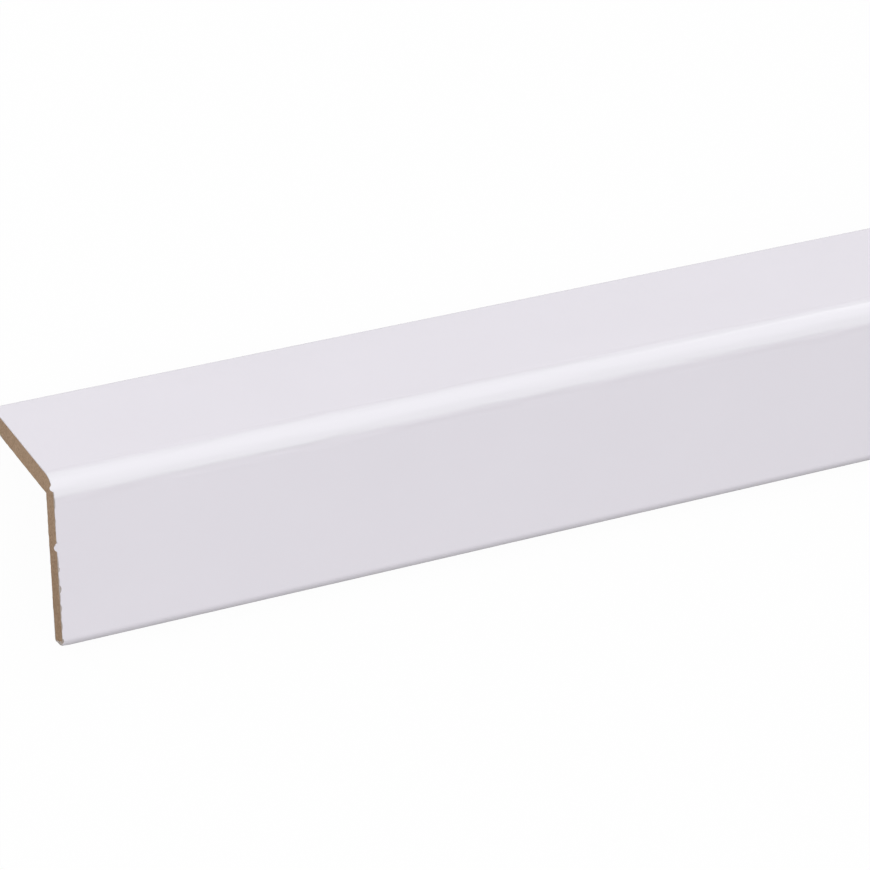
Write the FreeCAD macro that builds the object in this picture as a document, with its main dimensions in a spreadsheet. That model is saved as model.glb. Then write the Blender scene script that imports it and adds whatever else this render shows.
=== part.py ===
import FreeCAD, Part
import enum
import math
import os
import Sketcher

# Corner guard moulding: one length of equal-leg angle with a rounded outer corner and rounded leg tips,
# milled from one strip of fibreboard. It lies as it rests on a floor: along X, with its outer corner up
# and its two leg tips on the floor. The front leg is on the -Y side and the back leg on the +Y side.

NODE = "corner_guard"

# Driving dimensions in millimetres.
SIZES = {
    "stock_length": 1200.0,      # sawn length
    "leg_width": 32.0,           # outer face of each leg, from the corner before rounding to the tip
    "leg_thickness": 4.0,        # both legs
    "corner_radius": 3.5,        # rounding of the outer corner
    "tip_outer_radius": 2.2,     # rounding of each tip towards the outer face
    "tip_inner_radius": 0.5,     # eased edge of each tip towards the inner face
}

# Half of the right angle between the legs, by which the section is turned to stand on both tips.
LEG_SLOPE_DEGREES = 45.0

# The section's corners before rounding, anticlockwise from the outer corner, which is the sketch origin.
# Each has its distance from the front leg's outer face, its distance from the back leg's outer face, and
# its rounding. None is a distance of zero, or no rounding.
CORNERS = [
    (None, None, "corner_radius"),
    (None, "leg_width", "tip_outer_radius"),
    ("leg_thickness", "leg_width", "tip_inner_radius"),
    ("leg_thickness", "leg_thickness", None),
    ("leg_width", "leg_thickness", "tip_inner_radius"),
    ("leg_width", None, "tip_outer_radius"),
]


class Axis(enum.IntEnum):
    """Numbers of a sketch's own axes. The X axis starts at the sketch origin."""

    X = -1
    Y = -2


class End(enum.IntEnum):
    """Numbers of the two ends of a line or an arc."""

    START = 1
    FINISH = 2


def size_of(alias):
    """Value of a driving dimension, or zero where a corner has none."""
    return SIZES[alias] if alias else 0.0


def bind(sketch, constraint, alias):
    """Tie a dimension of a sketch to its cell of the sheet."""
    index = sketch.addConstraint(constraint)
    sketch.setExpression(f"Constraints[{index}]", f"Sizes.{alias}")


def add_side(sketch, corner, following):
    """Draw the straight side between two corners, on its axis or at its distance, and return its number."""
    from_front, from_back, rounding = corner
    along_front_leg = from_front == following[0]
    begin = FreeCAD.Vector(size_of(from_front), -size_of(from_back), 0)
    finish = FreeCAD.Vector(size_of(following[0]), -size_of(following[1]), 0)
    direction = (finish - begin).normalize()
    begin = begin + direction * size_of(rounding)
    finish = finish - direction * size_of(following[2])
    side = sketch.addGeometry(Part.LineSegment(begin, finish), False)
    if along_front_leg:
        sketch.addConstraint(Sketcher.Constraint("Vertical", side))
        if from_front:
            distance = Sketcher.Constraint("DistanceX", Axis.X, End.START, side, End.START, begin.x)
            bind(sketch, distance, from_front)
        else:
            sketch.addConstraint(Sketcher.Constraint("PointOnObject", side, End.START, Axis.Y))
    else:
        sketch.addConstraint(Sketcher.Constraint("Horizontal", side))
        if from_back:
            distance = Sketcher.Constraint("DistanceY", side, End.START, Axis.X, End.START, -begin.y)
            bind(sketch, distance, from_back)
        else:
            sketch.addConstraint(Sketcher.Constraint("PointOnObject", side, End.START, Axis.X))
    return side


def join_sides(sketch, before, after, rounding):
    """Join two sides at a corner, by a tangent arc where the corner is rounded."""
    if rounding is None:
        sketch.addConstraint(Sketcher.Constraint("Coincident", before, End.FINISH, after, End.START))
        return
    radius = SIZES[rounding]
    arriving = sketch.Geometry[before]
    outward = (arriving.EndPoint - arriving.StartPoint).normalize()
    centre = sketch.Geometry[after].StartPoint - outward * radius
    first = arriving.EndPoint - centre
    start_angle = math.atan2(first.y, first.x)
    circle = Part.Circle(centre, FreeCAD.Vector(0, 0, 1), radius)
    arc = sketch.addGeometry(Part.ArcOfCircle(circle, start_angle, start_angle + math.pi / 2), False)
    sketch.addConstraint(Sketcher.Constraint("Tangent", before, End.FINISH, arc, End.START))
    sketch.addConstraint(Sketcher.Constraint("Tangent", arc, End.FINISH, after, End.START))
    bind(sketch, Sketcher.Constraint("Radius", arc, radius), rounding)


def origin_plane(body, role):
    """One of a body's own origin planes."""
    return next(feature for feature in body.Origin.OriginFeatures if feature.Role == role)


doc = FreeCAD.newDocument("CornerGuard")

sheet = doc.addObject("Spreadsheet::Sheet", "Sizes")
for row, (alias, millimetres) in enumerate(SIZES.items(), start=1):
    sheet.set(f"A{row}", str(millimetres))
    sheet.setAlias(f"A{row}", alias)
doc.recompute()

moulding = doc.addObject("PartDesign::Body", NODE)
moulding.Label = NODE

# The section, turned and raised so that the eased edges of both tips touch the floor.
section = moulding.newObject("Sketcher::SketchObject", "Section")
section.AttachmentSupport = (origin_plane(moulding, "YZ_Plane"), "")
section.MapMode = "FlatFace"
turn = FreeCAD.Rotation(FreeCAD.Vector(0, 0, 1), -LEG_SLOPE_DEGREES)
section.AttachmentOffset = FreeCAD.Placement(FreeCAD.Vector(0, 0, 0), turn)
section.setExpression(
    "AttachmentOffset.Base.y",
    "(Sizes.leg_width + Sizes.leg_thickness) / sqrt(2) - (sqrt(2) - 1) * Sizes.tip_inner_radius",
)
following_corners = CORNERS[1:] + CORNERS[:1]
sides = [add_side(section, corner, following) for corner, following in zip(CORNERS, following_corners)]
for number, (_, _, rounding) in enumerate(CORNERS):
    join_sides(section, sides[number - 1], sides[number], rounding)

# The sawn length, half to each side of the section.
length = moulding.newObject("PartDesign::Pad", "Length")
length.Profile = section
length.SideType = "Symmetric"
length.setExpression("Length", "Sizes.stock_length")
doc.recompute()

for item in doc.Objects:
    if "Invalid" in item.State or "Error" in item.State:
        raise RuntimeError(f"{item.Name} failed: {item.State}")
if not section.FullyConstrained:
    raise RuntimeError("the section has sides or arcs that no size holds")
if moulding.Shape.isNull() or not moulding.Shape.isValid():
    raise RuntimeError(f"{NODE} has no valid solid")

os.makedirs("parts", exist_ok=True)
moulding.Shape.exportStep(f"parts/{NODE}.step")
box = moulding.Shape.BoundBox
print(f"{NODE}: {box.XLength:.2f} x {box.YLength:.2f} x {box.ZLength:.2f} mm, lowest point {box.ZMin:.4f} mm")
print(f"{NODE}: volume {moulding.Shape.Volume:.0f} mm3")
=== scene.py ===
"""A corner guard moulding: fibreboard milled to an L and wrapped in white foil, in a pale studio.

The board and its foil are modelled in the section's own axes, where the outer corner runs along X, the
back leg points along +Y and the front leg along -Z. Each is then turned to stand on its two leg tips, as
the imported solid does.
"""

import logging
import math
import random
from collections.abc import Callable
from dataclasses import dataclass
from enum import Enum
from itertools import pairwise

import bmesh
import bpy
from mathutils import Matrix, Vector


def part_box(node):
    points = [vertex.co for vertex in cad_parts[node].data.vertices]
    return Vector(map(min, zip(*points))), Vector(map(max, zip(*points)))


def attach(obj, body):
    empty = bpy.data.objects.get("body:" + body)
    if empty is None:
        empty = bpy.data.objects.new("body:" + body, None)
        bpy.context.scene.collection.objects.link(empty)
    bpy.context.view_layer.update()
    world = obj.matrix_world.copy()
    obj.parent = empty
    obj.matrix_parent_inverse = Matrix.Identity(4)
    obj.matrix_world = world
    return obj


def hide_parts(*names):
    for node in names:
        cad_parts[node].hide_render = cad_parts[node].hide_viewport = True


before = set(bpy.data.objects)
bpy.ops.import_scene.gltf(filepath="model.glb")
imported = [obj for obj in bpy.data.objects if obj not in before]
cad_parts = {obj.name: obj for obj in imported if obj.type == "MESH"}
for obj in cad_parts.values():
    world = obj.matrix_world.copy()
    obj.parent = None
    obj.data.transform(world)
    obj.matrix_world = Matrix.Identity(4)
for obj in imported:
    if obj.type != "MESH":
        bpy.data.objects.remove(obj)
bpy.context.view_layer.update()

log = logging.getLogger("corner_guard")

MM = 0.001
NODE = "corner_guard"
BODY = "root"
IMAGE_WIDTH_PX = 870

# Points closer together than this are in one place.
TOUCHING = 0.01 * MM

# The turn about X from the section's own axes to a stand on both leg tips.
STANDING_TURN = math.radians(-45.0)

# Faces that meet at less than this angle are shaded as one curve.
SMOOTH_ANGLE = math.radians(35.0)

# Noise runs from 0 to 1 about this mean.
NOISE_MEAN = 0.5

# A wave texture with a scale of 1 has this many bands in a metre.
WAVE_BANDS_PER_UNIT = 20.0 / math.tau

# A Mix node has sockets of the same name for numbers and for colours, so they are taken by number.
MIX_NUMBER_A = 2
MIX_NUMBER_B = 3
MIX_NUMBER_RESULT = 0
MIX_COLOUR_A = 6
MIX_COLOUR_B = 7
MIX_COLOUR_RESULT = 2

WHITE = (1.0, 1.0, 1.0, 1.0)


class Element(Enum):
    """The parts of a mesh that can be selected, by the mode that selects them."""

    VERTEX = "VERT"
    EDGE = "EDGE"


class Leg(Enum):
    """The two legs of the section."""

    FRONT = "front"
    BACK = "back"


class Axis(Enum):
    """The directions that tool marks follow each other in, by the names that a wave's bands have."""

    LENGTH = "X"
    HEIGHT = "Z"


class StockEnd(Enum):
    """The two sawn ends, by the side of the origin that each is on."""

    NEAR = -1
    FAR = 1


@dataclass(frozen=True)
class Section:
    """Sizes of the wrapped section and its place, in metres.

    Attributes:
        leg_width: Outer face of a leg, from the corner before rounding to the tip.
        leg_thickness: Thickness of a leg with its foil.
        corner_radius: Rounding of the outer corner.
        tip_outer_radius: Rounding of a tip towards the outer face.
        tip_inner_radius: Rounding of a tip towards the inner face.
        foil_thickness: Thickness of the foil.
        foil_return: Width of the foil that is folded onto each inner face.
        flake_reach: How far torn foil may stand past the sawn faces, which the overall length takes in.
        bruise_depth: How far the near end of the front tip was knocked up.
        bruise_reach: How far from there the knock shows.
    """

    leg_width: float = 32.0 * MM
    leg_thickness: float = 4.0 * MM
    corner_radius: float = 3.5 * MM
    tip_outer_radius: float = 2.2 * MM
    tip_inner_radius: float = 0.5 * MM
    foil_thickness: float = 0.25 * MM
    foil_return: float = 6.0 * MM
    flake_reach: float = 0.6 * MM
    bruise_depth: float = 0.3 * MM
    bruise_reach: float = 1.5 * MM

    @property
    def half_length(self) -> float:
        """Half of the stock between its two sawn faces."""
        low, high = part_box(NODE)
        return (high.x - low.x) / 2 - self.flake_reach

    @property
    def corner_height(self) -> float:
        """Height over the floor of the outer corner before it was rounded."""
        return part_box(NODE)[1].z + (math.sqrt(2) - 1) * self.corner_radius

    @property
    def bruised_tip(self) -> Vector:
        """The lowest point of the front leg at the near sawn face, before it was knocked."""
        return Vector((-self.half_length, self.leg_thickness / 2, -self.leg_width))

    @property
    def near_corner(self) -> Vector:
        """The outer corner before rounding, at the near sawn face and in the shared frame."""
        return Vector((-self.half_length, 0.0, self.corner_height))


def deselect_objects() -> None:
    """Leave edit mode and deselect every object."""
    if bpy.context.mode != "OBJECT":
        bpy.ops.object.mode_set(mode="OBJECT")
    bpy.ops.object.select_all(action="DESELECT")


def pick(piece: bpy.types.Object, element: Element, wanted: Callable[..., bool]) -> None:
    """Select the vertices or edges that a test wants, in edit mode.

    Args:
        piece: The object in edit mode.
        element: What is selected.
        wanted: The test, which is given one vertex or edge at a time.
    """
    bpy.ops.mesh.select_mode(type=element.value)
    bpy.ops.mesh.select_all(action="DESELECT")
    mesh = bmesh.from_edit_mesh(piece.data)
    items = mesh.verts if element is Element.VERTEX else mesh.edges
    found = [item for item in items if wanted(item)]
    for item in found:
        item.select_set(True)
    mesh.select_flush_mode()
    bmesh.update_edit_mesh(piece.data)


def draw_outline(name: str, points: list[Vector]) -> bpy.types.Object:
    """Draw a line of edges: a small plane is merged to one vertex, which is extruded from point to point.

    Args:
        name: Name of the new piece.
        points: The corners of the line, in order.

    Returns:
        The piece, in edit mode with all of it selected.
    """
    deselect_objects()
    bpy.ops.mesh.primitive_plane_add(size=MM)
    piece = bpy.context.active_object
    piece.name = name
    piece.data.name = name
    bpy.ops.object.mode_set(mode="EDIT")
    bpy.ops.mesh.select_mode(type=Element.VERTEX.value)
    bpy.ops.mesh.select_all(action="SELECT")
    bpy.ops.mesh.merge(type="CENTER")
    bpy.ops.transform.translate(value=points[0])
    for here, there in pairwise(points):
        bpy.ops.mesh.extrude_vertices_move(TRANSFORM_OT_translate={"value": there - here})
    bpy.ops.mesh.select_all(action="SELECT")
    return piece


def round_edge(piece: bpy.types.Object, corner: Vector, radius: float, segments: int) -> None:
    """Round one edge that runs along the stock.

    Args:
        piece: The object in edit mode.
        corner: A point of the edge. Its X doesn't count.
        radius: Radius of the rounding.
        segments: Faces across the rounding.
    """

    def lies_on_corner(vertex: bmesh.types.BMVert) -> bool:
        """Tell whether a vertex is on the edge."""
        return abs(vertex.co.y - corner.y) < TOUCHING and abs(vertex.co.z - corner.z) < TOUCHING

    pick(piece, Element.EDGE, lambda edge: all(lies_on_corner(vertex) for vertex in edge.verts))
    bpy.ops.mesh.bevel(offset=radius, segments=segments, profile=0.5, affect="EDGES", clamp_overlap=False)


def cut_across(positions: list[float], normal: Vector) -> None:
    """Cut the whole piece in edit mode by parallel planes, leaving it in one.

    Args:
        positions: Where the planes cross their normal.
        normal: The direction that the planes are square to.
    """
    for position in positions:
        bpy.ops.mesh.select_all(action="SELECT")
        bpy.ops.mesh.bisect(plane_co=normal * position, plane_no=normal)


def push(piece: bpy.types.Object, place: Vector, shift: Vector, reach: float) -> None:
    """Push the nearest vertex to a place, and with it what lies within reach.

    Args:
        piece: The object in edit mode.
        place: Where it is pushed.
        shift: How far it goes.
        reach: How far away the mesh still follows.
    """
    mesh = bmesh.from_edit_mesh(piece.data)
    nearest = min(mesh.verts, key=lambda vertex: (vertex.co - place).length_squared).index
    pick(piece, Element.VERTEX, lambda vertex: vertex.index == nearest)
    bpy.ops.transform.translate(
        value=shift,
        use_proportional_edit=True,
        proportional_edit_falloff="SPHERE",
        proportional_size=reach,
    )


def stand_on_tips(piece: bpy.types.Object, section: Section) -> None:
    """Turn a finished piece to stand on its leg tips and write its place into its mesh.

    Args:
        piece: The piece, in its section's own axes and out of edit mode.
        section: The section that it belongs to.
    """
    deselect_objects()
    piece.select_set(True)
    bpy.context.view_layer.objects.active = piece
    piece.rotation_euler.x = STANDING_TURN
    piece.location.z = section.corner_height
    bpy.ops.object.transform_apply(location=True, rotation=True, scale=True)
    bpy.ops.object.shade_smooth_by_angle(angle=SMOOTH_ANGLE)


def linear(colour: str) -> tuple[float, float, float, float]:
    """Turn an sRGB colour into the linear colour that a shader takes.

    Args:
        colour: The colour in hex, such as #E8E4EC.

    Returns:
        Red, green, blue and full opacity.
    """
    shares = [int(colour[place:place + 2], 16) / 255 for place in (1, 3, 5)]
    # This is the curve of the sRGB standard.
    red, green, blue = [s / 12.92 if s <= 0.04045 else ((s + 0.055) / 1.055) ** 2.4 for s in shares]
    return red, green, blue, 1.0


def add_node(
    tree: bpy.types.NodeTree,
    kind: str,
    settings: dict | None = None,
    links: dict | None = None,
) -> bpy.types.Node:
    """Add one node to a shader.

    Args:
        tree: The shader's node tree.
        kind: Blender's name for the node.
        settings: Its own properties, by name.
        links: Its inputs, by name or number: a value, or another node's output to link.

    Returns:
        The new node.
    """
    node = tree.nodes.new(kind)
    for name, value in (settings or {}).items():
        setattr(node, name, value)
    for name, value in (links or {}).items():
        if isinstance(value, bpy.types.NodeSocket):
            tree.links.new(value, node.inputs[name])
        else:
            node.inputs[name].default_value = value
    return node


def blank_material(name: str) -> tuple[bpy.types.Material, bpy.types.NodeTree]:
    """Make a material with an empty node tree.

    Args:
        name: Name of the material.

    Returns:
        The material and its node tree.
    """
    material = bpy.data.materials.new(name)
    material.use_nodes = True
    material.node_tree.nodes.clear()
    return material, material.node_tree


def per_metre(millimetres: float) -> float:
    """Scale of a pattern whose features are about this many millimetres wide."""
    return 1.0 / (millimetres * MM)


@dataclass(frozen=True)
class SatinFoil:
    """White decor foil, printed and lacquered in a satin gloss, then pressed on the board by rollers.

    The eye gets an even cool white, less violet along the rounded corner where a highlight tint is painted
    in, and there a soft bright line with a slight waver, where the foil follows the fibre under it.

    Attributes:
        white: Lighter tone of the print.
        shade: Darker tone of the print.
        painted_highlight_tint: Painted highlight tint along the rounded corner, a less violet tone than
            the print.
        roughness: Roughness of the lacquer.
        refraction: Refractive index of the lacquer.
        mottle_mm: Size of the print's clouds.
        painted_tint_fade_mm: Distances from the stock's middle line between which the painted highlight
            tint fades.
        waver_fade_mm: Distances from the stock's middle line between which the waver fades.
        waver_length_mm: Length of the waver's swellings.
        waver_width_mm: Width of the waver's swellings.
        waver_depth_mm: Height of the waver.
        grain_mm: Size of the lacquer's grain.
        grain_depth_mm: Height of the lacquer's grain.
    """

    white: str = "#E9E5ED"
    shade: str = "#E6E2EA"
    painted_highlight_tint: str = "#E5E3E9"
    roughness: float = 0.2
    refraction: float = 1.6
    mottle_mm: float = 14.0
    painted_tint_fade_mm: tuple[float, float] = (1.7, 2.7)
    waver_fade_mm: tuple[float, float] = (2.4, 4.0)
    waver_length_mm: float = 14.0
    waver_width_mm: float = 1.6
    waver_depth_mm: float = 0.16
    grain_mm: float = 0.5
    grain_depth_mm: float = 0.002

    def material(self) -> bpy.types.Material:
        """Build the foil's shader.

        Returns:
            The new material.
        """
        material, tree = blank_material("white_foil_lacquered")
        place = add_node(tree, "ShaderNodeTexCoord")
        mottle = add_node(tree, "ShaderNodeTexNoise", links={
            "Vector": place.outputs["Object"], "Scale": per_metre(self.mottle_mm), "Detail": 3.0})
        print_colour = add_node(tree, "ShaderNodeMix", {"data_type": "RGBA"}, {
            "Factor": mottle.outputs["Fac"],
            MIX_COLOUR_A: linear(self.shade), MIX_COLOUR_B: linear(self.white)})

        # The painted highlight tint and the waver stay on the rounded corner, near the stock's middle
        # line.
        axes = add_node(tree, "ShaderNodeSeparateXYZ", links={"Vector": place.outputs["Object"]})
        aside = add_node(tree, "ShaderNodeMath", {"operation": "ABSOLUTE"}, {0: axes.outputs["Y"]})
        painted_tint_mask, on_corner = [
            add_node(tree, "ShaderNodeMapRange", {"interpolation_type": "SMOOTHSTEP"}, {
                "Value": aside.outputs["Value"], "From Min": begin * MM, "From Max": end * MM,
                "To Min": 1.0, "To Max": 0.0})
            for begin, end in (self.painted_tint_fade_mm, self.waver_fade_mm)
        ]
        # A less violet tone is painted along the rounded corner, as a painted highlight tint.
        colour = add_node(tree, "ShaderNodeMix", {"data_type": "RGBA"}, {
            "Factor": painted_tint_mask.outputs["Result"],
            MIX_COLOUR_A: print_colour.outputs[MIX_COLOUR_RESULT], MIX_COLOUR_B: linear(self.painted_highlight_tint)})
        along, across = per_metre(self.waver_length_mm), per_metre(self.waver_width_mm)
        drawn_out = add_node(tree, "ShaderNodeMapping", links={
            "Vector": place.outputs["Object"], "Scale": (along, across, across)})
        waver = add_node(tree, "ShaderNodeTexNoise", links={
            "Vector": drawn_out.outputs["Vector"], "Scale": 1.0, "Detail": 1.0})
        either_way = add_node(tree, "ShaderNodeMath", {"operation": "SUBTRACT"}, {
            0: waver.outputs["Fac"], 1: NOISE_MEAN})
        waver_height = add_node(tree, "ShaderNodeMath", {"operation": "MULTIPLY"}, {
            0: either_way.outputs["Value"], 1: on_corner.outputs["Result"]})
        corner_bump = add_node(tree, "ShaderNodeBump", links={
            "Height": waver_height.outputs["Value"], "Distance": self.waver_depth_mm * MM})
        grain = add_node(tree, "ShaderNodeTexNoise", links={
            "Vector": place.outputs["Object"], "Scale": per_metre(self.grain_mm), "Detail": 2.0})
        grain_bump = add_node(tree, "ShaderNodeBump", links={
            "Height": grain.outputs["Fac"], "Distance": self.grain_depth_mm * MM,
            "Normal": corner_bump.outputs["Normal"]})
        shader = add_node(tree, "ShaderNodeBsdfPrincipled", links={
            "Base Color": colour.outputs[MIX_COLOUR_RESULT], "Roughness": self.roughness,
            "IOR": self.refraction, "Normal": grain_bump.outputs["Normal"]})
        add_node(tree, "ShaderNodeOutputMaterial", links={"Surface": shader.outputs["BSDF"]})
        return material


@dataclass(frozen=True)
class RawFibreboard:
    """Medium-density fibreboard: wood fibre felted and pressed with resin, with no finish on it.

    The eye gets a dry tan brown, flecked with lighter and darker fibres in every direction.

    Attributes:
        name: Name of the material.
        dark: Tone of the darkest fibres.
        light: Tone of the lightest fibres.
        fibre_length_mm: Length of a bundle of fibres.
        fibre_width_mm: Width of a bundle of fibres.
        relief_mm: Height of the fibres.
        mark_pitch_mm: Distance between the tool's marks.
        mark_depth_mm: Height of the tool's marks.
        marks_cross: Direction that the marks follow each other in.
        patch_mm: Size of the lighter and darker patches.
        patch_share: Weight of the patches against one layer of fibres.
        patch_seed: Which of the many patterns of patches it is.
        contrast: How far from the mean the felt is darkest and lightest.
        roughness: Roughness of the fibres.
        refraction: Refractive index of the resin.
    """

    name: str
    dark: str
    light: str
    fibre_length_mm: float
    fibre_width_mm: float
    relief_mm: float
    mark_pitch_mm: float
    mark_depth_mm: float
    marks_cross: Axis
    patch_mm: float = 20.0
    patch_share: float = 1.0
    patch_seed: float = 0.0
    contrast: float = 0.35
    roughness: float = 0.9
    refraction: float = 1.5

    def material(self) -> bpy.types.Material:
        """Build the board's shader.

        Returns:
            The new material.
        """
        material, tree = blank_material(self.name)
        place = add_node(tree, "ShaderNodeTexCoord")
        along, across = per_metre(self.fibre_length_mm), per_metre(self.fibre_width_mm)
        layers = []
        for scale in ((along, across, across), (across, along, across), (across, across, along)):
            drawn_out = add_node(tree, "ShaderNodeMapping", links={
                "Vector": place.outputs["Object"], "Scale": scale})
            layers.append(add_node(tree, "ShaderNodeTexNoise", links={
                "Vector": drawn_out.outputs["Vector"], "Scale": 1.0, "Detail": 2.0}))
        two = add_node(tree, "ShaderNodeMath", {"operation": "ADD"}, {
            0: layers[0].outputs["Fac"], 1: layers[1].outputs["Fac"]})
        three = add_node(tree, "ShaderNodeMath", {"operation": "ADD"}, {
            0: two.outputs["Value"], 1: layers[2].outputs["Fac"]})
        patches = add_node(tree, "ShaderNodeTexNoise", {"noise_dimensions": "4D"}, {
            "Vector": place.outputs["Object"], "W": self.patch_seed,
            "Scale": per_metre(self.patch_mm), "Detail": 1.0})
        uneven = add_node(tree, "ShaderNodeMath", {"operation": "MULTIPLY_ADD"}, {
            0: patches.outputs["Fac"], 1: self.patch_share, 2: three.outputs["Value"]})
        mean = NOISE_MEAN * (len(layers) + self.patch_share)
        fleck = add_node(tree, "ShaderNodeMapRange", links={
            "Value": uneven.outputs["Value"],
            "From Min": mean - self.contrast, "From Max": mean + self.contrast})
        colour = add_node(tree, "ShaderNodeMix", {"data_type": "RGBA"}, {
            "Factor": fleck.outputs["Result"],
            MIX_COLOUR_A: linear(self.dark), MIX_COLOUR_B: linear(self.light)})
        fuzz = add_node(tree, "ShaderNodeBump", links={
            "Height": fleck.outputs["Result"], "Distance": self.relief_mm * MM})
        bands = {"wave_type": "BANDS", "bands_direction": self.marks_cross.value}
        marks = add_node(tree, "ShaderNodeTexWave", bands, {
            "Vector": place.outputs["Object"],
            "Scale": per_metre(self.mark_pitch_mm) / WAVE_BANDS_PER_UNIT, "Distortion": 1.0})
        marked = add_node(tree, "ShaderNodeBump", links={
            "Height": marks.outputs["Fac"], "Distance": self.mark_depth_mm * MM,
            "Normal": fuzz.outputs["Normal"]})
        shader = add_node(tree, "ShaderNodeBsdfPrincipled", links={
            "Base Color": colour.outputs[MIX_COLOUR_RESULT], "Roughness": self.roughness,
            "IOR": self.refraction, "Normal": marked.outputs["Normal"]})
        add_node(tree, "ShaderNodeOutputMaterial", links={"Surface": shader.outputs["BSDF"]})
        return material


# The inner faces, where the planer's knives left long fibres flat and faint ripples along the stock.
PLANED_BOARD = RawFibreboard(
    name="fibreboard_planed",
    dark="#94795F",
    light="#AE9277",
    fibre_length_mm=2.5,
    fibre_width_mm=0.35,
    relief_mm=0.02,
    mark_pitch_mm=2.0,
    mark_depth_mm=0.01,
    marks_cross=Axis.LENGTH,
)

# The sawn ends, where the blade cut the fibres short, raised them and left its own lines.
SAWN_BOARD = RawFibreboard(
    name="fibreboard_sawn",
    dark="#92775E",
    light="#B3977D",
    fibre_length_mm=1.2,
    fibre_width_mm=0.3,
    relief_mm=0.06,
    mark_pitch_mm=0.8,
    mark_depth_mm=0.02,
    marks_cross=Axis.HEIGHT,
    patch_seed=4.25,
)


@dataclass(frozen=True)
class TornPaperAndShade:
    """The foil's paper with its glue, where the saw cut or tore it and no lacquer is left.

    The eye gets a dull warm grey, uneven from fibre to fibre, kept darker as painted shade in chips and on
    the lip.

    Attributes:
        name: Name of the material.
        dark: Tone of the glue between the fibres.
        light: Tone of the paper's fibres.
        fibre_mm: Size of the fibres.
        relief_mm: Height of the fibres.
        roughness: Roughness of the paper.
        refraction: Refractive index of the glue.
    """

    name: str = "decor_paper_torn_and_shade"
    dark: str = "#9A9088"
    light: str = "#CEC6C3"
    fibre_mm: float = 0.5
    relief_mm: float = 0.03
    roughness: float = 0.85
    refraction: float = 1.5

    def material(self) -> bpy.types.Material:
        """Build the torn paper's shader, or give the one that was built before.

        Returns:
            The material.
        """
        built = bpy.data.materials.get(self.name)
        if built:
            return built
        material, tree = blank_material(self.name)
        place = add_node(tree, "ShaderNodeTexCoord")
        fibre = add_node(tree, "ShaderNodeTexNoise", links={
            "Vector": place.outputs["Object"], "Scale": per_metre(self.fibre_mm), "Detail": 2.0})
        colour = add_node(tree, "ShaderNodeMix", {"data_type": "RGBA"}, {
            "Factor": fibre.outputs["Fac"],
            MIX_COLOUR_A: linear(self.dark), MIX_COLOUR_B: linear(self.light)})
        fray = add_node(tree, "ShaderNodeBump", links={
            "Height": fibre.outputs["Fac"], "Distance": self.relief_mm * MM})
        shader = add_node(tree, "ShaderNodeBsdfPrincipled", links={
            "Base Color": colour.outputs[MIX_COLOUR_RESULT], "Roughness": self.roughness,
            "IOR": self.refraction, "Normal": fray.outputs["Normal"]})
        add_node(tree, "ShaderNodeOutputMaterial", links={"Surface": shader.outputs["BSDF"]})
        return material


@dataclass(frozen=True)
class Chip:
    """A place where the saw tore the foil at a sawn end.

    Attributes:
        leg: The leg that it is on.
        down: Its distance down the leg's outer face from the corner before rounding.
        reach: How far from its middle it begins.
        depth: How much foil is gone. A flake hangs past the sawn face, so its depth is negative.
    """

    leg: Leg
    down: float
    reach: float
    depth: float


# What the saw left at the end that shows, from the corner down the front leg.
NEAR_CHIPS = (
    Chip(Leg.FRONT, 1.2 * MM, 0.5 * MM, -0.44 * MM),
    Chip(Leg.FRONT, 2.4 * MM, 0.5 * MM, 0.12 * MM),
    Chip(Leg.FRONT, 3.9 * MM, 1.1 * MM, 0.16 * MM),
    Chip(Leg.FRONT, 7.3 * MM, 0.4 * MM, 0.08 * MM),
    Chip(Leg.FRONT, 11.7 * MM, 0.3 * MM, 0.14 * MM),
    Chip(Leg.FRONT, 12.4 * MM, 0.65 * MM, -0.5 * MM),
    Chip(Leg.FRONT, 15.2 * MM, 1.2 * MM, 0.12 * MM),
    Chip(Leg.FRONT, 16.6 * MM, 0.5 * MM, 0.24 * MM),
    Chip(Leg.FRONT, 18.6 * MM, 0.8 * MM, 0.09 * MM),
    Chip(Leg.FRONT, 20.1 * MM, 0.7 * MM, 0.34 * MM),
    Chip(Leg.FRONT, 21.6 * MM, 0.9 * MM, 0.1 * MM),
    Chip(Leg.FRONT, 23.7 * MM, 0.6 * MM, 0.22 * MM),
    Chip(Leg.FRONT, 25.0 * MM, 0.8 * MM, 0.07 * MM),
    Chip(Leg.FRONT, 27.1 * MM, 0.8 * MM, 0.14 * MM),
    Chip(Leg.FRONT, 30.2 * MM, 0.6 * MM, 0.24 * MM),
)

# The least and the most of the small chips at the end that doesn't show.
FAR_REACH_MM = (0.4, 1.2)
FAR_DEPTH_MM = (0.08, 0.3)


def far_chips(section: Section, count: int = 12, seed: int = 7) -> tuple[Chip, ...]:
    """Choose what the saw left at the end that doesn't show: small chips on either leg.

    Args:
        section: The section that they are on.
        count: How many there are.
        seed: Seed of the draws, so that each run gives the same chips.

    Returns:
        The chips.
    """
    draws = random.Random(seed)
    lowest = section.leg_width - section.tip_outer_radius
    return tuple(
        Chip(
            draws.choice(list(Leg)),
            draws.uniform(section.corner_radius, lowest),
            draws.uniform(*FAR_REACH_MM) * MM,
            draws.uniform(*FAR_DEPTH_MM) * MM,
        )
        for _ in range(count)
    )


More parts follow.
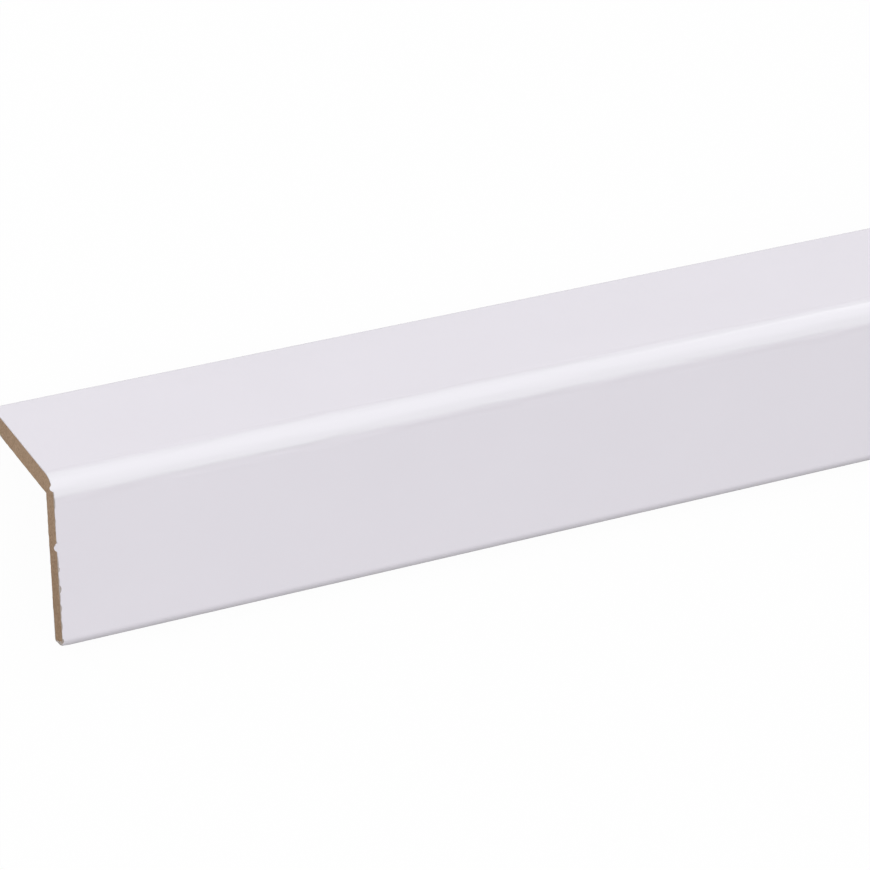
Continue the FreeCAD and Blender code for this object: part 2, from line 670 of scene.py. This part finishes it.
@dataclass(frozen=True)
class Foil:
    """The white foil, wrapped over both outer faces and round both tips.

    Attributes:
        section: The section that it wraps.
        strip: Spacing of the mesh across the foil.
        rows_mm: Distances of the mesh's rows from a sawn end, close together where the foil is torn.
        corner_segments: Faces across the rounded corner.
        tip_outer_segments: Faces across a tip's outer rounding.
        tip_inner_segments: Faces across a tip's inner rounding.
        fray_run: How far up the front tip's outer rounding its foil is frayed.
        fray_fold: How far in and up over the sawn face the frayed lip is folded.
        edge_slant: Least share of a normal along the stock that makes a face a part of the foil's edge.
    """

    section: Section
    strip: float = 0.2 * MM
    rows_mm: tuple[float, ...] = (0.12, 0.25, 0.4, 0.6, 0.9, 1.4, 3.0, 12.0)
    corner_segments: int = 24
    tip_outer_segments: int = 16
    tip_inner_segments: int = 5
    fray_run: float = 1.2 * MM
    fray_fold: float = 0.4 * MM
    edge_slant: float = 0.7

    def outline(self) -> list[Vector]:
        """List the foil's corners before rounding, from one inner face round the outside to the other.

        Returns:
            The corners, at the near sawn face.
        """
        width, thickness = self.section.leg_width, self.section.leg_thickness
        inner_edge = width - self.section.foil_return
        places = [
            (thickness, -inner_edge), (thickness, -width), (0.0, -width), (0.0, 0.0),
            (width, 0.0), (width, -thickness), (inner_edge, -thickness),
        ]
        return [Vector((-self.section.half_length, y, z)) for y, z in places]

    def build(self) -> bpy.types.Object:
        """Model the foil: an outline drawn out along the stock, rounded, divided, torn and thickened.

        Returns:
            The foil, in its place.
        """
        section = self.section
        outline = self.outline()
        foil = draw_outline("white_foil", outline)
        length = 2 * section.half_length
        bpy.ops.mesh.extrude_edges_move(TRANSFORM_OT_translate={"value": (length, 0.0, 0.0)})
        roundings = [
            (section.tip_inner_radius, self.tip_inner_segments),
            (section.tip_outer_radius, self.tip_outer_segments),
            (section.corner_radius, self.corner_segments),
            (section.tip_outer_radius, self.tip_outer_segments),
            (section.tip_inner_radius, self.tip_inner_segments),
        ]
        for corner, (radius, segments) in zip(outline[1:-1], roundings):
            round_edge(foil, corner, radius, segments)
        self.divide(foil)
        self.face_outwards(foil)
        for end, chips in ((StockEnd.NEAR, NEAR_CHIPS), (StockEnd.FAR, far_chips(section))):
            for chip in chips:
                self.tear(foil, end, chip)
        push(foil, section.bruised_tip, Vector((0.0, 0.0, section.bruise_depth)), section.bruise_reach)
        self.fray(foil)
        bpy.ops.object.mode_set(mode="OBJECT")

        # The foil grows inwards, so its outer face stays where the section has it.
        wall = foil.modifiers.new("thickness", "SOLIDIFY")
        wall.thickness = section.foil_thickness
        wall.offset = -1.0
        bpy.ops.object.modifier_apply(modifier=wall.name)
        stand_on_tips(foil, section)
        return foil

    def divide(self, foil: bpy.types.Object) -> None:
        """Divide the flat stretches into narrow strips and cut rows across them near the sawn ends.

        Args:
            foil: The foil, in edit mode.
        """
        section = self.section
        flats = (
            section.leg_width - section.corner_radius - section.tip_outer_radius,
            section.leg_thickness - section.tip_outer_radius - section.tip_inner_radius,
            section.foil_return - section.tip_inner_radius,
        )
        for flat in flats:
            pick(foil, Element.EDGE, lambda edge: abs(edge.calc_length() - flat) < TOUCHING)
            bpy.ops.mesh.subdivide(number_cuts=round(flat / self.strip) - 1)
        places = [section.half_length - row * MM for row in self.rows_mm]
        cut_across([-place for place in places] + places + [0.0], Vector((1.0, 0.0, 0.0)))

    def face_outwards(self, foil: bpy.types.Object) -> None:
        """Turn the foil's faces away from the board.

        Args:
            foil: The foil, in edit mode.
        """
        bpy.ops.mesh.select_all(action="SELECT")
        bpy.ops.mesh.normals_make_consistent(inside=False)
        mesh = bmesh.from_edit_mesh(foil.data)
        front = min(mesh.faces, key=lambda face: face.calc_center_median().y)
        if front.normal.y > 0:
            bpy.ops.mesh.flip_normals()

    def tear(self, foil: bpy.types.Object, end: StockEnd, chip: Chip) -> None:
        """Push the foil's edge back along the stock, or draw it out, round the middle of a chip.

        Args:
            foil: The foil, in edit mode.
            end: The sawn end that the chip is at.
            chip: The chip.
        """
        edge_x = end.value * self.section.half_length
        if chip.leg is Leg.FRONT:
            middle = Vector((edge_x, 0.0, -chip.down))
        else:
            middle = Vector((edge_x, chip.down, 0.0))
        push(foil, middle, Vector((-end.value * chip.depth, 0.0, 0.0)), chip.reach)

    def fray(self, foil: bpy.types.Object) -> None:
        """Fold a frayed lip of foil over the sawn face at the near end of the front tip.

        Args:
            foil: The foil, in edit mode.
        """
        section = self.section
        highest = self.fray_run - section.leg_width
        innermost = section.tip_outer_radius

        def lies_on_lip(vertex: bmesh.types.BMVert) -> bool:
            """Tell whether a vertex is on the stretch that the lip grows from."""
            at_end = vertex.co.x < -section.half_length + TOUCHING
            return at_end and vertex.co.z < highest and vertex.co.y < innermost

        def bears_lip(edge: bmesh.types.BMEdge) -> bool:
            """Tell whether an edge of the mesh is one that the lip grows from."""
            return edge.is_boundary and all(lies_on_lip(vertex) for vertex in edge.verts)

        pick(foil, Element.EDGE, bears_lip)
        fold = (-section.foil_thickness, self.fray_fold, self.fray_fold)
        bpy.ops.mesh.extrude_edges_move(TRANSFORM_OT_translate={"value": fold})

    def dress(self, foil: bpy.types.Object) -> None:
        """Give the foil its finishes, with torn edges on the front leg only, and its place in the frame.

        Args:
            foil: The finished foil.
        """
        foil.data.materials.append(SatinFoil().material())
        foil.data.materials.append(TornPaperAndShade().material())
        lip_top = 2 * self.section.tip_outer_radius
        # The lip and the front leg's torn edges get torn paper's grey, which on the lip is partly painted
        # shade.
        for face in foil.data.polygons:
            on_lip = face.center.x < -self.section.half_length and face.center.z < lip_top
            on_torn_edge = face.center.y < 0.0 and abs(face.normal.x) > self.edge_slant
            face.material_index = 1 if on_lip or on_torn_edge else 0
        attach(foil, BODY)
        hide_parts(NODE)


@dataclass(frozen=True)
class Board:
    """The fibreboard under the foil: its inner faces and sawn ends are bare.

    Attributes:
        section: The wrapped section.
        grid: Spacing of the mesh over the sawn ends.
        saw_depth: Height of the sawn faces' fuzz, from the deepest tear to the highest fibre.
        saw_tear: Width of the tears.
        corner_segments: Faces across the rounded corner.
        tip_outer_segments: Faces across a tip's outer rounding.
        tip_inner_segments: Faces across a tip's inner rounding.
        sawn_slant: Least share of a normal along the stock that makes a face a part of a sawn end.
        glued_and_shaded_slant: Least upward share of a normal that makes a face a part of what the foil is
            glued to. Where chips bare these faces, their grey is partly painted shade.
    """

    section: Section
    grid: float = 0.5 * MM
    saw_depth: float = 0.12 * MM
    saw_tear: float = 0.9 * MM
    corner_segments: int = 16
    tip_outer_segments: int = 12
    tip_inner_segments: int = 3
    sawn_slant: float = 0.5
    glued_and_shaded_slant: float = 0.3

    def outline(self) -> list[Vector]:
        """List the board's corners before rounding, with a shallow step under each edge of the foil.

        Returns:
            The corners, at the near sawn face.
        """
        section = self.section
        width, thickness, foil = section.leg_width, section.leg_thickness, section.foil_thickness
        inner_edge = width - section.foil_return
        places = [
            (foil, -foil), (foil, foil - width), (thickness - foil, foil - width),
            (thickness - foil, -inner_edge), (thickness, -inner_edge), (thickness, -thickness),
            (inner_edge, -thickness), (inner_edge, foil - thickness),
            (width - foil, foil - thickness), (width - foil, -foil),
        ]
        return [Vector((-section.half_length, y, z)) for y, z in places]

    def build(self) -> bpy.types.Object:
        """Model the board: a filled outline drawn out along the stock, rounded, gridded and sawn.

        Returns:
            The board, in its place.
        """
        section = self.section
        outline = self.outline()
        board = draw_outline("fibreboard", outline + outline[:1])
        bpy.ops.mesh.remove_doubles(threshold=TOUCHING)
        bpy.ops.mesh.edge_face_add()
        length = 2 * section.half_length
        bpy.ops.mesh.extrude_region_move(TRANSFORM_OT_translate={"value": (length, 0.0, 0.0)})
        foil = section.foil_thickness

        # By number in the outline, these are the outer corner, the front tip and the back tip.
        roundings = {
            0: (section.corner_radius - foil, self.corner_segments),
            1: (section.tip_outer_radius - foil, self.tip_outer_segments),
            2: (section.tip_inner_radius - foil, self.tip_inner_segments),
            8: (section.tip_inner_radius - foil, self.tip_inner_segments),
            9: (section.tip_outer_radius - foil, self.tip_outer_segments),
        }
        for number, (radius, segments) in roundings.items():
            round_edge(board, outline[number], radius, segments)
        bpy.ops.mesh.select_all(action="SELECT")
        bpy.ops.mesh.normals_make_consistent(inside=False)
        steps = [self.grid * (count + 0.5) for count in range(round(section.leg_width / self.grid))]
        cut_across(steps, Vector((0.0, 1.0, 0.0)))
        cut_across([-step for step in steps], Vector((0.0, 0.0, 1.0)))
        skin = section.half_length - self.grid
        cut_across([-skin, skin, 0.0], Vector((1.0, 0.0, 0.0)))
        push(board, section.bruised_tip, Vector((0.0, 0.0, section.bruise_depth)), section.bruise_reach)
        bpy.ops.object.mode_set(mode="OBJECT")
        for end in StockEnd:
            self.saw(board, end)
        stand_on_tips(board, section)
        return board

    def saw(self, board: bpy.types.Object, end: StockEnd) -> None:
        """Tear a sawn face unevenly into the board.

        Args:
            board: The board, out of edit mode.
            end: The end that was sawn.
        """
        face_x = end.value * self.section.half_length
        on_face = [vertex.index for vertex in board.data.vertices if abs(vertex.co.x - face_x) < TOUCHING]
        group = board.vertex_groups.new(name=f"sawn_{end.name.lower()}")
        group.add(on_face, 1.0, "REPLACE")
        tears = bpy.data.textures.new(f"saw_tears_{end.name.lower()}", "CLOUDS")
        tears.noise_scale = self.saw_tear
        tears.noise_depth = 2
        sawn = board.modifiers.new("sawn", "DISPLACE")
        sawn.texture = tears
        sawn.texture_coords = "LOCAL"
        sawn.direction = "X"
        sawn.vertex_group = group.name
        sawn.mid_level = NOISE_MEAN
        sawn.strength = -end.value * self.saw_depth
        bpy.ops.object.modifier_apply(modifier=sawn.name)

    def dress(self, board: bpy.types.Object) -> None:
        """Give the board's planed, sawn and glued faces their finishes and the board its place; the glued
        faces' grey is partly painted shade.

        Args:
            board: The finished board.
        """
        for finish in (PLANED_BOARD, SAWN_BOARD, TornPaperAndShade()):
            board.data.materials.append(finish.material())
        for face in board.data.polygons:
            if abs(face.normal.x) > self.sawn_slant:
                face.material_index = 1
            # The faces under the foil get torn paper's grey, partly painted shade where chips bare them.
            elif face.normal.z > self.glued_and_shaded_slant:
                face.material_index = 2
        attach(board, BODY)
        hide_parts(NODE)


@dataclass(frozen=True)
class Softbox:
    """One soft lamp, turned to the middle of what the camera sees of the stock.

    Attributes:
        name: Name of the lamp.
        place: Its own middle, in metres from the middle of what the camera sees of the stock.
        width: Its width in metres.
        height: Its height in metres.
        radiance: Its brightness, where 1 is what the camera shows as white.
    """

    name: str
    place: Vector
    width: float
    height: float
    radiance: float

    def build(self, middle: Vector) -> None:
        """Hang the lamp.

        Args:
            middle: The middle of what the camera sees of the stock.
        """
        data = bpy.data.lights.new(self.name, "AREA")
        data.shape = "RECTANGLE"
        data.size = self.width
        data.size_y = self.height
        data.energy = self.radiance * math.pi * self.width * self.height
        lamp = bpy.data.objects.new(self.name, data)
        lamp.location = middle + self.place
        lamp.rotation_euler = (-self.place).to_track_quat("-Z", "Y").to_euler()
        lamp.visible_camera = False
        bpy.context.scene.collection.objects.link(lamp)


LAMPS = (
    Softbox("softbox_right", Vector((2.0, 1.6, 1.0)), width=1.6, height=1.4, radiance=2.0),
    Softbox("softbox_front", Vector((0.56, -0.97, 1.0)), width=0.6, height=0.6, radiance=0.5),
    Softbox("softbox_left", Vector((-2.0, 0.0, 1.15)), width=1.4, height=1.4, radiance=3.45),
)


@dataclass(frozen=True)
class Camera:
    """The camera, by the way that it looks at the stock.

    Attributes:
        heading: Turn of its line of sight from +Y towards +X, in degrees.
        dip: Angle of its line of sight under the horizon, in degrees.
        roll: Turn of its upper edge towards its right, in degrees.
        eye: Its place from the near outer corner of the stock before rounding.
        focal_px: Its focal length in pixels of the image.
        sensor_mm: Width of its sensor.
        nearest: Distance from which on it shows things, in metres.
    """

    heading: float = 55.791
    dip: float = 63.207
    roll: float = -40.455
    eye: Vector = Vector((-168.848 * MM, -166.251 * MM, 564.319 * MM))
    focal_px: float = 3725.79
    sensor_mm: float = 36.0
    nearest: float = 0.05

    def build(self, section: Section) -> None:
        """Set up the camera and make it the scene's own.

        Args:
            section: The section that it looks at.
        """
        data = bpy.data.cameras.new("camera")
        data.sensor_width = self.sensor_mm
        data.lens = self.focal_px / IMAGE_WIDTH_PX * data.sensor_width
        data.clip_start = self.nearest
        camera = bpy.data.objects.new("camera", data)
        heading = Matrix.Rotation(-math.radians(self.heading), 4, "Z")
        tilt = Matrix.Rotation(math.radians(90.0 - self.dip), 4, "X")
        roll = Matrix.Rotation(-math.radians(self.roll), 4, "Z")
        place = Matrix.Translation(section.near_corner + self.eye)
        camera.matrix_world = place @ heading @ tilt @ roll
        bpy.context.scene.collection.objects.link(camera)
        bpy.context.scene.camera = camera


@dataclass(frozen=True)
class Studio:
    """A pale floor in soft light, with a white background behind it.

    Attributes:
        floor_size: Width of the floor in metres.
        floor_white: Colour of the floor's paper as it is seen.
        floor_bounce: Colour of the light that the floor throws back on the stock.
        floor_glow: Share of plain white in what the camera sees of the floor. The rest is lit paper.
        floor_mirrored_glow: The same share in what mirrors and glass see of the floor.
        painted_shadow_reach: How far from the front tip a contact shadow is painted into what mirrors see
            of the floor.
        painted_shadow_depth: How much darker that painted shadow makes the mirrored floor, as a share.
        sky: Brightness of the light from all round.
        seen_middle: How far from the near sawn face the middle of what the camera sees is.
    """

    floor_size: float = 12.0
    floor_white: str = "#E6E6E6"
    floor_bounce: str = "#181818"
    floor_glow: float = 0.965
    floor_mirrored_glow: float = 0.2
    painted_shadow_reach: float = 30.0 * MM
    painted_shadow_depth: float = 0.35
    sky: float = 0.848
    seen_middle: float = 70.0 * MM

    def build(self, section: Section) -> None:
        """Set up the floor, the background, the lamps and the camera.

        Args:
            section: The section that stands in the studio.
        """
        scene = bpy.context.scene
        scene.view_settings.view_transform = "Standard"
        self.lay_floor()
        self.light_background(scene)
        middle = Vector((-section.half_length + self.seen_middle, 0.0, 0.0))
        for lamp in LAMPS:
            lamp.build(middle)
        Camera().build(section)

    def sees_white(self, tree: bpy.types.NodeTree) -> bpy.types.NodeSocket:
        """Tell rays from the camera, mirrors and glass, which see white, from those that carry light.

        Args:
            tree: The node tree that asks.

        Returns:
            A socket that gives 1 for the first kind of ray and 0 for the other.
        """
        path = add_node(tree, "ShaderNodeLightPath")
        mirrored = add_node(tree, "ShaderNodeMath", {"operation": "MAXIMUM"}, {
            0: path.outputs["Is Glossy Ray"], 1: path.outputs["Is Transmission Ray"]})
        seen = add_node(tree, "ShaderNodeMath", {"operation": "MAXIMUM"}, {
            0: path.outputs["Is Camera Ray"], 1: mirrored.outputs["Value"]})
        return seen.outputs["Value"]

    def lay_floor(self) -> None:
        """Lay the floor that the stock rests on."""
        deselect_objects()
        bpy.ops.mesh.primitive_plane_add(size=self.floor_size)
        floor = bpy.context.active_object
        floor.name = "floor"
        material, tree = blank_material("floor_paper_matt")
        path = add_node(tree, "ShaderNodeLightPath")

        # Mirrors find the floor darker close to the front tip, where the stock shades it: this contact
        # shadow is painted into the floor's mirrored colour.
        place = add_node(tree, "ShaderNodeTexCoord")
        axes = add_node(tree, "ShaderNodeSeparateXYZ", links={"Vector": place.outputs["Object"]})
        front_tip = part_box(NODE)[0].y
        in_painted_shadow = add_node(tree, "ShaderNodeMath", {"operation": "COMPARE"}, {
            0: axes.outputs["Y"], 1: front_tip, 2: self.painted_shadow_reach})
        clear = add_node(tree, "ShaderNodeMath", {"operation": "MULTIPLY_ADD"}, {
            0: in_painted_shadow.outputs["Value"], 1: -self.painted_shadow_depth, 2: self.sees_white(tree)})
        seen = add_node(tree, "ShaderNodeMath", {"operation": "MAXIMUM"}, {
            0: path.outputs["Is Camera Ray"], 1: clear.outputs["Value"]})

        colour = add_node(tree, "ShaderNodeMix", {"data_type": "RGBA"}, {
            "Factor": seen.outputs["Value"],
            MIX_COLOUR_A: linear(self.floor_bounce), MIX_COLOUR_B: linear(self.floor_white)})
        paper = add_node(tree, "ShaderNodeBsdfDiffuse", links={"Color": colour.outputs[MIX_COLOUR_RESULT]})
        white = add_node(tree, "ShaderNodeEmission", links={"Color": WHITE, "Strength": 1.0})
        glow = add_node(tree, "ShaderNodeMix", {"data_type": "FLOAT"}, {
            "Factor": path.outputs["Is Camera Ray"],
            MIX_NUMBER_A: self.floor_mirrored_glow, MIX_NUMBER_B: self.floor_glow})
        share = add_node(tree, "ShaderNodeMath", {"operation": "MULTIPLY"}, {
            0: seen.outputs["Value"], 1: glow.outputs[MIX_NUMBER_RESULT]})
        mixed = add_node(tree, "ShaderNodeMixShader", links={
            0: share.outputs["Value"], 1: paper.outputs["BSDF"], 2: white.outputs["Emission"]})
        add_node(tree, "ShaderNodeOutputMaterial", links={"Surface": mixed.outputs["Shader"]})
        floor.data.materials.append(material)

    def light_background(self, scene: bpy.types.Scene) -> None:
        """Light the scene from all round, and show white behind it.

        Args:
            scene: The scene.
        """
        world = bpy.data.worlds.new("studio")
        world.use_nodes = True
        tree = world.node_tree
        tree.nodes.clear()
        light = add_node(tree, "ShaderNodeBackground", links={"Color": WHITE, "Strength": self.sky})
        white = add_node(tree, "ShaderNodeBackground", links={"Color": WHITE, "Strength": 1.0})
        mixed = add_node(tree, "ShaderNodeMixShader", links={
            0: self.sees_white(tree), 1: light.outputs["Background"], 2: white.outputs["Background"]})
        add_node(tree, "ShaderNodeOutputWorld", links={"Surface": mixed.outputs["Shader"]})
        scene.world = world


def main() -> None:
    """Build the board, its foil and the studio."""
    logging.basicConfig(level=logging.INFO, format="%(name)s: %(message)s")
    section = Section()
    for part in (Board(section), Foil(section)):
        piece = part.build()
        part.dress(piece)
        log.info("%s: %d faces", piece.name, len(piece.data.polygons))
    Studio().build(section)


if __name__ == "__main__":
    main()
